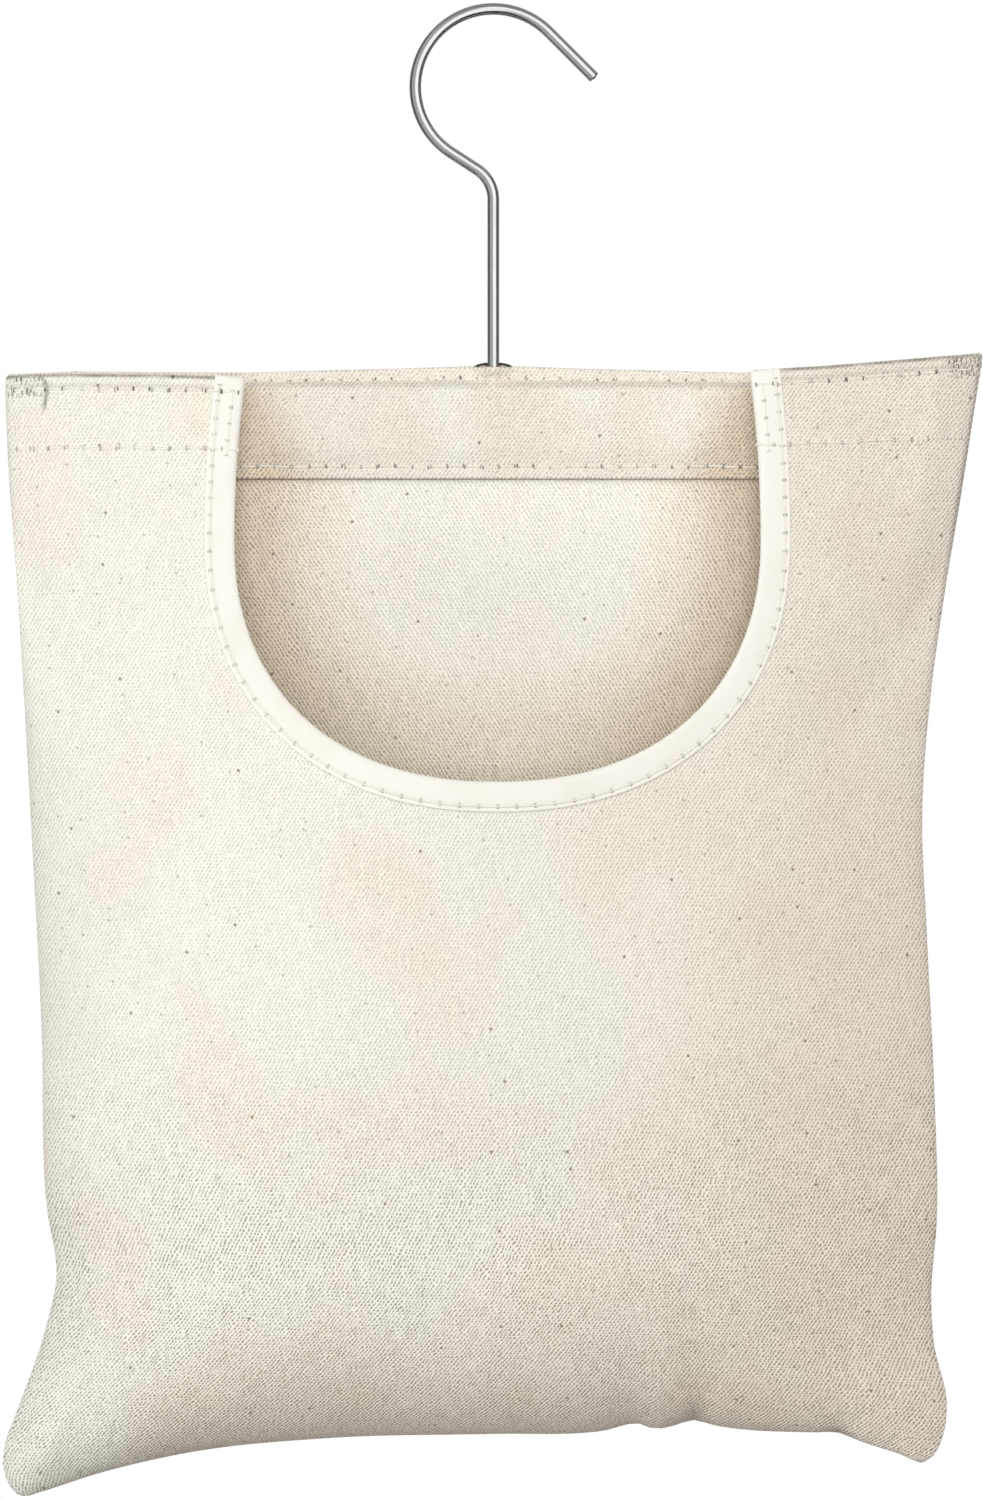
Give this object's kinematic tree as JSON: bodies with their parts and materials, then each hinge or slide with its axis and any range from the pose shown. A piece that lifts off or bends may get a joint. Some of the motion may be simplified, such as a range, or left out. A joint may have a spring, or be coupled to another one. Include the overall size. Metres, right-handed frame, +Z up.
{
  "type": "peg bag",
  "caption": "Slack cotton bag for clothes pegs, with a tape-bound U-shaped mouth in its front, hung from a bar in its back hem by a swivelling steel wire hook.",
  "frame": {"origin": "hang point: the inside top of the hook's loop, straight above the stem", "axes": "+Z up along the hook's stem, the mouth in the front faces -Y, +X to the right of someone facing the mouth"},
  "size_m": [0.3249, 0.0835, 0.4955],
  "materials": {
    "hook_steel": "bright drawn steel wire",
    "bar_wood": "plain sanded beech",
    "bag_cotton": "natural unbleached cotton twill",
    "binding_tape": "off-white cotton bias tape",
    "sewing_thread": "cream cotton sewing thread"
  },
  "bodies": {
    "hook": {"wire_hook": "hook_steel"},
    "bag": {"hanger_bar": "bar_wood", "hook_washer": "hook_steel", "back_panel": "bag_cotton", "front_panel": "bag_cotton", "mouth_binding": "binding_tape", "binding_stitch": "sewing_thread", "back_hem_stitch": "sewing_thread", "back_top_stitch_left": "sewing_thread", "back_top_stitch_right": "sewing_thread", "front_top_stitch_left": "sewing_thread", "front_top_stitch_right": "sewing_thread", "front_hem_stitch_left": "sewing_thread", "front_hem_stitch_right": "sewing_thread"}
  },
  "joints": [
    {"name": "hook_swivel", "type": "hinge", "parent": "hook", "child": "bag", "pos_m": [0, 0, -0.1175], "axis": [0, 0, 1], "continuous": true}
  ]
}
